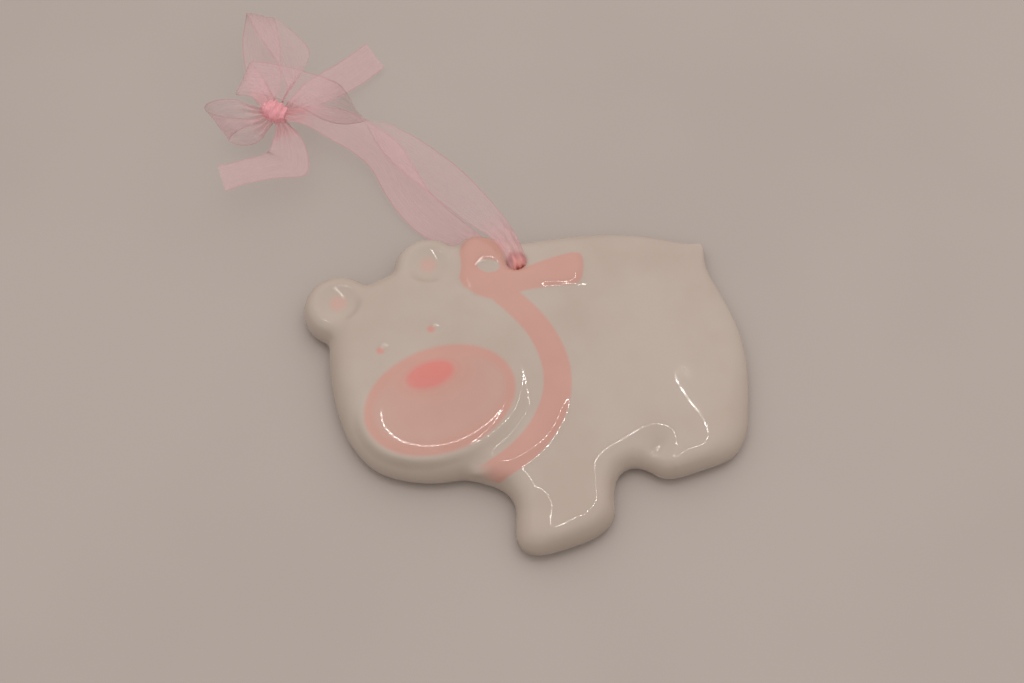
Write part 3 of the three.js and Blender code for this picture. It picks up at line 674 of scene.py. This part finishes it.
def painted_fields(points, normals):
    """How much of each colour lies at each point of the skin, and where the clay is bare."""
    def field(node, fade):
        return ease(*fade, near_node(points, node, fade[0]))

    band = field("neck_band", TRIM_PINK) * ease(*BAND_START, points[:, 0])
    nose = oval_distance(points, middle_of("nose"), NOSE_HALF, NOSE_TILT)
    ears = [ease(*EAR_BLUSH, plan_distance(points, middle_of(node))) for node in EAR_CENTRES]
    return {
        "pink": np.maximum.reduce([field("muzzle", MUZZLE_PINK), band,
                                   field("neck_bow", TRIM_PINK)]),
        "coral": ease(*NOSE_CORAL, nose),
        "blush": EAR_BLUSH_SHARE * np.maximum(*ears) * ease(*EAR_BLUSH_HEIGHT, points[:, 2]),
        "bare": ease(*BARE_TILT, normals[:, 2]) * ease(*BARE_HEIGHT, points[:, 2]),
    }


def press_eyes(points, eyes, on_face, coral):
    """Each eye is a dimple pressed into the clay and touched with coral on its lower side."""
    for eye in eyes:
        away = plan_distance(points, eye) / EYE_RADIUS
        points[:, 2] -= EYE_DEPTH * np.exp(-(away / EYE_SPREAD) ** 2) * on_face
        touched = (eye - TO_FAR * EYE_TOUCH_NEARER * EYE_RADIUS
                   - TO_RIGHT * EYE_TOUCH_LEFT * EYE_RADIUS)
        away = plan_distance(points, touched) / EYE_RADIUS
        coral = np.maximum(coral, EYE_CORAL_SHARE * np.exp(-away ** 4) * on_face)
    return coral


def pink_in_hole(points):
    """The bow's pink has run into the hanging hole."""
    away = plan_distance(points, HANGING_HOLE)
    return ease(*HOLE_PINK, away) * ease(*HOLE_PINK_HEIGHT, points[:, 2])


def pooled_glaze_and_crease_shade(points, ends, count, normals):
    """Glaze pools where the skin is hollow, and the darker colour there is also painted shade in
    the creases.
    """
    inwards = neighbour_mean(points, ends, count) - points
    hollow = np.einsum("ij,ij->i", inwards, normals)[:, None]
    soften(hollow, ends, count, POOL_AND_SHADE_ROUNDS)
    return ease(*POOL_AND_SHADE_HOLLOW, hollow[:, 0]) * ease(*POOL_AND_SHADE_HEIGHT, points[:, 2])


def hand_poured(points, normals):
    """The poured skin is never quite even."""
    wave = np.array([noise.noise(Vector(p) * BROAD_WAVES)
                     + FINE_WAVES_SHARE * noise.noise(Vector(p) * FINE_WAVES + FINE_WAVES_SHIFT)
                     for p in points])
    points += normals * (wave * ease(*WAVE_HEIGHT, points[:, 2]) * SKIN_WAVINESS)[:, None]


def glazed_bear(material):
    piece = one_clay_body()
    fill_creases(piece)
    mesh = piece.data
    shape_face(mesh)
    eyes = [middle_of(node) for node in EYES]
    finer_cells(mesh, eyes, FINE_CELLS_ROUND_EYE)
    points, ends, count = read_skin(mesh)
    normals = facing(mesh, ends, count)
    masks = painted_fields(points, normals)
    coral = press_eyes(points, eyes, on_the_face(points, normals), masks["coral"])
    masks["coral"] = np.maximum(coral, HOLE_CORAL_SHARE * pink_in_hole(points))
    masks["pooled_and_crease_shade"] = pooled_glaze_and_crease_shade(points, ends, count, normals)
    hand_poured(points, normals)
    write_skin(mesh, points)
    for name, values in masks.items():
        keep_mask(mesh, name, values)
    mesh.polygons.foreach_set("use_smooth", np.ones(len(mesh.polygons), bool))
    mesh.materials.clear()
    mesh.materials.append(material)
    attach(piece, "bear")
    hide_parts(*CERAMIC)


# The ribbon. Each row is the middle of the cloth and its width in mm,
# and the turn and tilt of its width in degrees.

FRONT_STRAND = [
    (6.2, 23.9, 4.0, 3.8, 0, 0), (6.1, 23.7, 6.4, 4.3, 0, 0), (5.9, 23.8, 7.9, 4.8, 0, 0),
    (5.9, 24.8, 9, 5, 0, 0), (6, 26.3, 9.8, 5, 0, 0), (6.2, 28.2, 10.3, 5, 0, 2),
    (5.8, 34, 10.1, 6.2, 6, 4), (4.4, 39.4, 10.2, 8.2, 9, 6), (0.9, 52.2, 10, 10.5, 14, 6),
    (-2.6, 62.7, 9.8, 10.5, 17, 3), (-5.4, 69.8, 10, 10.5, 32, -12),
    (-7.4, 76, 10.4, 10.5, 42, -34), (-9.8, 81.4, 10.8, 10.5, 46, -68),
    (-13, 85.8, 11.6, 10.5, 42, -114), (-16.2, 89.4, 12.8, 10.5, 40, -152),
    (-19.9, 93.9, 13.9, 10.5, 40, -174), (-25.5, 99.5, 14.6, 10.6, 44, -180),
    (-30.8, 103.9, 14.6, 10.6, 46, -180), (-32.8, 105.5, 13.8, 10.6, 46, -180),
    (-32.6, 105.2, 12.8, 10.5, 44, -180), (-31.2, 103.6, 12.1, 8.4, 38, -180),
    (-30.4, 100.8, 11.8, 6, 28, -180), (-29.8, 97.4, 11, 4, 16, -180),
    (-29.4, 95.6, 10.4, 3.4, 10, -180)]
REAR_STRAND = [
    (6.3, 25.2, 4.3, 3.4, 12, 0), (6.3, 25.3, 2.6, 3.4, 12, 0), (5.9, 26.5, 0.7, 3.4, 14, 0),
    (5.1, 28.7, 0.22, 3.4, 18, 0), (3.5, 33.1, 0.2, 4.2, 22, 0), (1.8, 37.2, 0.2, 5.6, 26, 0),
    (-1, 42, 0.35, 7.8, 32, 0), (-5.2, 49, 1.4, 10.5, 34, 4), (-7.4, 56, 2.2, 10.5, 20, 5),
    (-7.9, 63.6, 2.8, 10.5, 8, 4), (-8.2, 72, 3.6, 10.5, 16, 2), (-11.2, 79.6, 4.4, 10.5, 30, -2),
    (-15.4, 85.8, 5.6, 10.5, 36, -4), (-21, 90.2, 7.8, 7, 42, -2), (-25.9, 92, 9.2, 4, 46, 0),
    (-28, 93.2, 9.8, 3.4, 48, 0)]
UPPER_LOOP = [
    (-29.4, 95.6, 9.4, 3.4, 14, 0), (-29.6, 97.9, 8.6, 4, 10, 0), (-28.4, 103, 7.4, 7.6, -10, -4),
    (-25.8, 111, 6.8, 9.8, -20, -8), (-22.8, 119.2, 7, 10.5, -18, -18),
    (-20.2, 125, 8, 9.2, -14, -30), (-19.5, 126.1, 9.4, 8.8, -12, -34),
    (-19.5, 124.7, 10.5, 9.2, -12, -30), (-18.6, 116.8, 10.9, 10.5, -10, -18),
    (-17.6, 108.4, 10.4, 9.8, 0, -6), (-20, 101.8, 10.1, 7.2, 24, 0),
    (-24.8, 97.3, 10.1, 4, 44, 0), (-26.8, 95.6, 10.1, 3.4, 46, 0)]
LEFT_LOOP = [
    (-31, 94.4, 10.5, 3.4, 94, 6), (-33.1, 95.2, 10.9, 4, 96, 10),
    (-36.4, 96.8, 11.4, 8, 100, 20), (-40.6, 98.2, 10.9, 9.8, 104, 28),
    (-43.4, 98.8, 9.5, 10.5, 106, 32), (-44.1, 98.8, 8, 10.5, 106, 32),
    (-43, 97.8, 6.8, 10.5, 106, 30), (-39.6, 95.6, 6.3, 9.6, 104, 22),
    (-36, 93.9, 7, 7.4, 100, 12), (-33, 93.3, 8.2, 4, 96, 6), (-31, 93.5, 8.9, 3.4, 94, 4)]
RIGHT_TAIL = [
    (-27.4, 94.2, 8.8, 3.2, 98, 0), (-25.4, 94.6, 7.9, 3.6, 100, 0),
    (-21, 96.6, 6.2, 6.8, 104, -2), (-15, 99.2, 4.2, 9.8, 106, -4),
    (-7.8, 101.4, 2.4, 10.5, 102, -4), (-0.6, 103.6, 1.3, 10.5, 98, -4),
    (4.6, 105.4, 1, 10.5, 94, -4)]
LOWER_TAIL = [
    (-29, 92.2, 9, 3.2, 180, 0), (-29.1, 90.1, 8.4, 3.6, 178, 0), (-29.8, 86.2, 8.2, 7.4, 172, 4),
    (-31, 81.8, 8.2, 10.2, 150, 8), (-32.8, 78.8, 8.3, 12.4, 118, 2),
    (-36.4, 79.6, 8.5, 11, 98, -12), (-42.4, 81.2, 8.5, 10.5, 86, -18),
    (-49.6, 82.7, 8, 10.5, 82, -14)]
KNOT_CENTRE = Vector((-29.2, 94.3, 9.8)) * MM
KNOT_AXIS = Vector((0.643, -0.766, 0))
KNOT_RADIUS = 2.8 * MM
KNOT_START = 0.88
KNOT_UNEVENNESS = 0.05
KNOT_HALF_WIDTH = 3.5 * MM
KNOT_TURN = (-200, 215)
KNOT_DRIFT = 0.5 * MM
KNOT_STEPS = 90
KNOT_CELL = 0.3 * MM


def curve_through(rows, steps):
    """Centres and the other columns between the rows, on smooth curves through them."""
    rows = np.array(rows, float)
    rows = np.vstack([2 * rows[0] - rows[1], rows, 2 * rows[-1] - rows[-2]])
    found = []
    for i in range(1, len(rows) - 2):
        a, b, c, d = rows[i - 1:i + 3]
        gaps = [max(np.linalg.norm(q[:3] - p[:3]) ** 0.5, 1e-4)
                for p, q in ((a, b), (b, c), (c, d))]
        out = ((b - a) / gaps[0] - (c - a) / (gaps[0] + gaps[1]) + (c - b) / gaps[1]) * gaps[1]
        back = ((c - b) / gaps[1] - (d - b) / (gaps[1] + gaps[2]) + (d - c) / gaps[2]) * gaps[1]
        out[3:], back[3:] = (c[3:] - a[3:]) / 2, (d[3:] - b[3:]) / 2
        for t in np.arange(steps) / steps:
            found.append(b * (2 * t**3 - 3 * t**2 + 1) + c * (3 * t**2 - 2 * t**3)
                         + out * (t**3 - 2 * t**2 + t) + back * (t**3 - t**2))
    return np.array(found + [rows[-2]])


def strip_tree():
    """Lays a grid of cloth along a path.

    The path carries half of the cloth's width as a vector and how bunched the cloth is.
    """
    tree = bpy.data.node_groups.new("ribbon_strip", "GeometryNodeTree")
    for label, kind in (("Path", "NodeSocketGeometry"), ("Cells Along", "NodeSocketInt"),
                        ("Cells Across", "NodeSocketInt"), ("Pleats", "NodeSocketFloat"),
                        ("Pleat Depth", "NodeSocketFloat"), ("Slackness", "NodeSocketFloat"),
                        ("Length In Widths", "NodeSocketFloat"), ("Crown", "NodeSocketFloat"),
                        ("Cloth", "NodeSocketMaterial")):
        tree.interface.new_socket(label, in_out="INPUT", socket_type=kind)
    tree.interface.new_socket("Ribbon", in_out="OUTPUT", socket_type="NodeSocketGeometry")
    given = add_node(tree, "NodeGroupInput").outputs
    path = add_node(tree, "GeometryNodeMeshToCurve")
    feed(tree, path.inputs["Mesh"], given["Path"])
    grid = add_node(tree, "GeometryNodeMeshGrid")
    feed(tree, grid.inputs["Vertices X"], given["Cells Across"])
    feed(tree, grid.inputs["Vertices Y"], given["Cells Along"])
    grid.inputs["Size X"].default_value = 1
    grid.inputs["Size Y"].default_value = 1
    place = add_node(tree, "ShaderNodeSeparateXYZ")
    feed(tree, place.inputs[0], add_node(tree, "GeometryNodeInputPosition").outputs[0])
    across = calc(tree, "MULTIPLY", place.outputs["X"], 2.0)
    along = calc(tree, "ADD", place.outputs["Y"], 0.5)

    def sampled(name, kind):
        kept = add_node(tree, "GeometryNodeInputNamedAttribute", data_type=kind)
        kept.inputs["Name"].default_value = name
        sample = add_node(tree, "GeometryNodeSampleCurve",
                          mode="FACTOR", data_type=kind, use_all_curves=True)
        feed(tree, sample.inputs["Curves"], path.outputs[0])
        feed(tree, pin(sample.inputs, "Value"), pin(kept.outputs, "Attribute"))
        feed(tree, pin(sample.inputs, "Factor"), along)
        return sample.outputs

    half = sampled("half_width", "FLOAT_VECTOR")
    bunched = pin(sampled("gather", "FLOAT"), "Value")
    up = vector_calc(tree, "NORMALIZE", vector_calc(
        tree, "CROSS_PRODUCT", pin(half, "Tangent"), pin(half, "Value")))
    # Pleats run along the ribbon, wander a little and fade where the cloth opens.
    span = calc(tree, "MULTIPLY", along, given["Length In Widths"])
    drift = add_node(tree, "ShaderNodeTexNoise", noise_dimensions="1D")
    feed(tree, pin(drift.inputs, "W"), calc(tree, "MULTIPLY", span, PLEAT_WANDER))
    turns = calc(tree, "MULTIPLY_ADD", across, calc(tree, "MULTIPLY", given["Pleats"], math.pi),
                 calc(tree, "MULTIPLY", drift.outputs[0], PLEAT_SHIFT))
    fold = calc(tree, "MULTIPLY", calc(tree, "SINE", turns), given["Pleat Depth"])
    fold = calc(tree, "MULTIPLY", fold, bunched)
    # Slack cloth sways up and down, and a bunched strip is rounded across.
    slack = add_node(tree, "ShaderNodeTexNoise", noise_dimensions="2D")
    join = add_node(tree, "ShaderNodeCombineXYZ")
    feed(tree, join.inputs[0], calc(tree, "MULTIPLY", across, SWAY_ACROSS))
    feed(tree, join.inputs[1], calc(tree, "MULTIPLY", span, SWAY_ALONG))
    feed(tree, slack.inputs["Vector"], join.outputs[0])
    slack.inputs["Detail"].default_value = 1.0
    sway = calc(tree, "MULTIPLY", calc(tree, "SUBTRACT", slack.outputs[0], 0.5), given["Slackness"])
    crown = calc(tree, "MULTIPLY", calc(tree, "MULTIPLY", across, across),
                 calc(tree, "MULTIPLY", given["Crown"], bunched))
    height = calc(tree, "SUBTRACT", calc(tree, "ADD", fold, sway), crown)
    lift = vector_calc(tree, "SCALE", up, height)
    seat = vector_calc(tree, "ADD", vector_calc(tree, "ADD", pin(half, "Position"), lift),
                       vector_calc(tree, "SCALE", pin(half, "Value"), across))
    # The UV map counts ribbon widths along the cloth.
    stretch = add_node(tree, "ShaderNodeCombineXYZ")
    stretch.inputs[0].default_value = 1
    feed(tree, stretch.inputs[1], given["Length In Widths"])
    laid = add_node(tree, "GeometryNodeStoreNamedAttribute", data_type="FLOAT2", domain="CORNER")
    feed(tree, laid.inputs["Geometry"], grid.outputs["Mesh"])
    laid.inputs["Name"].default_value = "UVMap"
    feed(tree, pin(laid.inputs, "Value"),
         vector_calc(tree, "MULTIPLY", grid.outputs["UV Map"], stretch.outputs[0]))
    marked = add_node(tree, "GeometryNodeStoreNamedAttribute", data_type="FLOAT", domain="POINT")
    feed(tree, marked.inputs["Geometry"], laid.outputs[0])
    marked.inputs["Name"].default_value = "gather"
    feed(tree, pin(marked.inputs, "Value"), bunched)
    bent = add_node(tree, "GeometryNodeSetPosition")
    feed(tree, bent.inputs["Geometry"], marked.outputs[0])
    feed(tree, bent.inputs["Position"], seat)
    smooth = add_node(tree, "GeometryNodeSetShadeSmooth")
    feed(tree, smooth.inputs[0], bent.outputs[0])
    whole = add_node(tree, "GeometryNodeRealizeInstances")
    feed(tree, whole.inputs[0], smooth.outputs[0])
    dyed = add_node(tree, "GeometryNodeSetMaterial")
    feed(tree, dyed.inputs["Geometry"], whole.outputs[0])
    feed(tree, dyed.inputs["Material"], given["Cloth"])
    feed(tree, add_node(tree, "NodeGroupOutput").inputs[0], dyed.outputs[0])
    return tree


def path_length(centres):
    return float(np.linalg.norm(np.diff(centres, axis=0), axis=1).sum())


def ribbon_piece(name, node, tree, cloth, centres, halves, gathers, held, rests_on, pleats=3.0,
                 depth=0.5 * MM, slackness=0.5 * MM, crown=0.0, cell=CLOTH_CELL, across=28):
    """One stretch of the ribbon, laid along its path."""
    mesh = bpy.data.meshes.new(name)
    mesh.from_pydata(centres.tolist(), [(i, i + 1) for i in range(len(centres) - 1)], [])
    widths = mesh.attributes.new("half_width", "FLOAT_VECTOR", "POINT")
    widths.data.foreach_set("vector", halves.ravel())
    keep_mask(mesh, "gather", gathers)
    piece = new_object(name, mesh)
    length = path_length(centres)
    layer = piece.modifiers.new("strip", "NODES")
    layer.node_group = tree
    values = {"Cells Along": int(length / cell), "Cells Across": across, "Pleats": pleats,
              "Pleat Depth": depth, "Slackness": slackness, "Crown": crown,
              "Length In Widths": length / RIBBON_WIDTH, "Cloth": cloth}
    for socket in tree.interface.items_tree:
        if socket.in_out == "INPUT" and socket.name in values:
            layer[socket.identifier] = values[socket.name]
    plain_mesh(piece)
    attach(piece, "ribbon")
    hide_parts(node)


def stretch_of_ribbon(name, node, tree, cloth, rows, held, rests_on, **cut):
    track = curve_through(rows, STEPS_BETWEEN_ROWS)
    turn, tilt = np.radians(track[:, 4]), np.radians(track[:, 5])
    halves = np.column_stack(
        [np.cos(tilt) * np.cos(turn), np.cos(tilt) * np.sin(turn), np.sin(tilt)])
    halves *= track[:, 3:4] * MM / 2
    gathers = ease(OPEN_WIDTH, GATHERED_WIDTH, track[:, 3])
    ribbon_piece(name, node, tree, cloth, track[:, :3] * MM, halves, gathers, held, rests_on, **cut)


def knot_wrap(tree, cloth):
    """The turn of ribbon drawn tight round the middle of the bow, as a soft lump."""
    side = Vector((-KNOT_AXIS.y, KNOT_AXIS.x, 0))
    angles = np.radians(np.linspace(*KNOT_TURN, KNOT_STEPS))
    drifts = np.linspace(-KNOT_DRIFT, KNOT_DRIFT, KNOT_STEPS)
    swell = (KNOT_START + (1 - KNOT_START) * np.linspace(0, 1, KNOT_STEPS)
             + KNOT_UNEVENNESS * np.sin(3 * angles))
    centres = np.array([
        KNOT_CENTRE + KNOT_AXIS * drift + (side * math.cos(angle) + UP * math.sin(angle)) * radius
        for angle, drift, radius in zip(angles, drifts, KNOT_RADIUS * swell)])
    halves = np.repeat([np.array(KNOT_AXIS) * KNOT_HALF_WIDTH], KNOT_STEPS, axis=0)
    ribbon_piece("knot_wrap", "ribbon_knot", tree, cloth, centres, halves, np.ones(KNOT_STEPS),
                 "folded", ["bow_loop_upper_cloth", "bow_loop_left_cloth"], pleats=4.2,
                 depth=0.3 * MM, slackness=0.8 * MM, crown=1.2 * MM, cell=KNOT_CELL, across=48)


# Light, table and camera

def roof_lamp(place):
    light = bpy.data.lights.new("roof_lamp", "AREA")
    light.shape = "DISK"
    light.size = LAMP_SIZE
    light.energy = LAMP_POWER
    light.color = LAMP_COLOUR
    lamp = new_object("roof_lamp", light)
    lamp.location = place
    lamp.rotation_euler = (RING_MIDDLE - place).to_track_quat("-Z", "Y").to_euler()


def studio():
    """An even white tent, brighter overhead, with a string of small lamps round its roof."""
    world = bpy.data.worlds.new("studio")
    bpy.context.scene.world = world
    world.use_nodes = True
    tree = world.node_tree
    sky = next(n for n in tree.nodes if n.type == "BACKGROUND")
    sky.inputs["Color"].default_value = TENT_COLOUR
    overhead = (TO_FAR * math.sin(TENT_LEAN) + UP * math.cos(TENT_LEAN)).normalized()
    towards = add_node(tree, "ShaderNodeTexCoord").outputs["Generated"]
    height = calc(tree, "MAXIMUM", vector_calc(tree, "DOT_PRODUCT", towards, tuple(overhead)), 0.0)
    feed(tree, sky.inputs["Strength"],
         calc(tree, "MULTIPLY_ADD", height, TENT_ROOF - TENT_WALL, TENT_WALL))
    # The flat face mirrors the camera towards one point of the roof. The lamps stand in an arc
    # round that point, so that they draw fine lines along the shoulders and leave the flats clear.
    eye = Vector((VIEW_FROM.x, VIEW_FROM.y, -VIEW_FROM.z))
    middle = (RING_MIDDLE - eye).normalized()
    side = (TO_RIGHT - middle * middle.dot(TO_RIGHT)).normalized()
    rise = middle.cross(side)
    for start, end in RING_ARCS_DEGREES:
        for degrees in np.arange(start, end, LAMP_STEP_DEGREES):
            turn = math.radians(degrees)
            lean = (side * math.sin(turn) - rise * math.cos(turn)) * math.tan(RING_ANGLE)
            roof_lamp(eye + (middle + lean) * RING_DISTANCE)


def table():
    mesh = bpy.data.meshes.new("table")
    corners = [(x * TABLE_HALF, y * TABLE_HALF, 0) for x, y in ((-1, -1), (1, -1), (1, 1), (-1, 1))]
    mesh.from_pydata(corners, [], [(0, 1, 2, 3)])
    mesh.materials.append(table_material())
    new_object("table", mesh)


def camera():
    data = bpy.data.cameras.new("camera")
    data.lens, data.sensor_width = VIEW_LENS, VIEW_SENSOR
    data.clip_start = NEAREST_SEEN
    seen_from = new_object("camera", data)
    seen_from.location = VIEW_FROM
    seen_from.rotation_euler = VIEW_LOOK.to_track_quat("-Z", "Y").to_euler()
    bpy.context.scene.camera = seen_from


camera()
table()
studio()
bpy.context.scene.view_settings.view_transform = "Standard"

glazed_bear(glaze_material(glaze_surface_group()))

weave = sheer_weave_group()
organza_open = organza_material(
    "organza_open", weave, open_alpha=0.36, gathered_alpha=0.58,
    tint=srgb(212, 164, 167), dense=srgb(226, 164, 167), bright=srgb(218, 174, 176))
# A copy of the organza for the stretches lying low by the table, painted lighter to offset the
# shade that falls on them there.
organza_low_painted_lighter = organza_material(
    "organza_low_painted_lighter", weave, open_alpha=0.42, gathered_alpha=0.62,
    tint=srgb(220, 167, 170), dense=srgb(220, 152, 156), bright=srgb(224, 176, 178))
# The knot's denser cloth, with its colours painted lighter to offset the shade between its pleats.
organza_knot_dense_and_lightened = organza_material(
    "organza_knot_dense_and_lightened", weave, open_alpha=0.62, gathered_alpha=0.74,
    tint=srgb(255, 181, 188), dense=srgb(255, 174, 182), bright=srgb(255, 194, 199))

strip = strip_tree()
stretch_of_ribbon("front_strand_cloth", "ribbon_front_strand", strip, organza_open, FRONT_STRAND,
                  "gathered", ["glazed_bear", "knot_wrap"], depth=0.26 * MM, crown=0.6 * MM)
stretch_of_ribbon("rear_strand_cloth", "ribbon_rear_strand", strip, organza_low_painted_lighter, REAR_STRAND,
                  "gathered", ["glazed_bear", "knot_wrap"], slackness=0.25 * MM, depth=0.15 * MM)
stretch_of_ribbon("bow_loop_upper_cloth", "bow_loop_upper", strip, organza_open, UPPER_LOOP,
                  "folded", ["knot_wrap"])
stretch_of_ribbon("bow_loop_left_cloth", "bow_loop_left", strip, organza_open, LEFT_LOOP,
                  "folded", ["knot_wrap"])
stretch_of_ribbon("bow_tail_right_cloth", "bow_tail_right", strip, organza_low_painted_lighter, RIGHT_TAIL,
                  "gathered", ["knot_wrap", "table"])
stretch_of_ribbon("bow_tail_lower_cloth", "bow_tail_lower", strip, organza_low_painted_lighter, LOWER_TAIL,
                  "gathered", ["knot_wrap"])
knot_wrap(strip, organza_knot_dense_and_lightened)
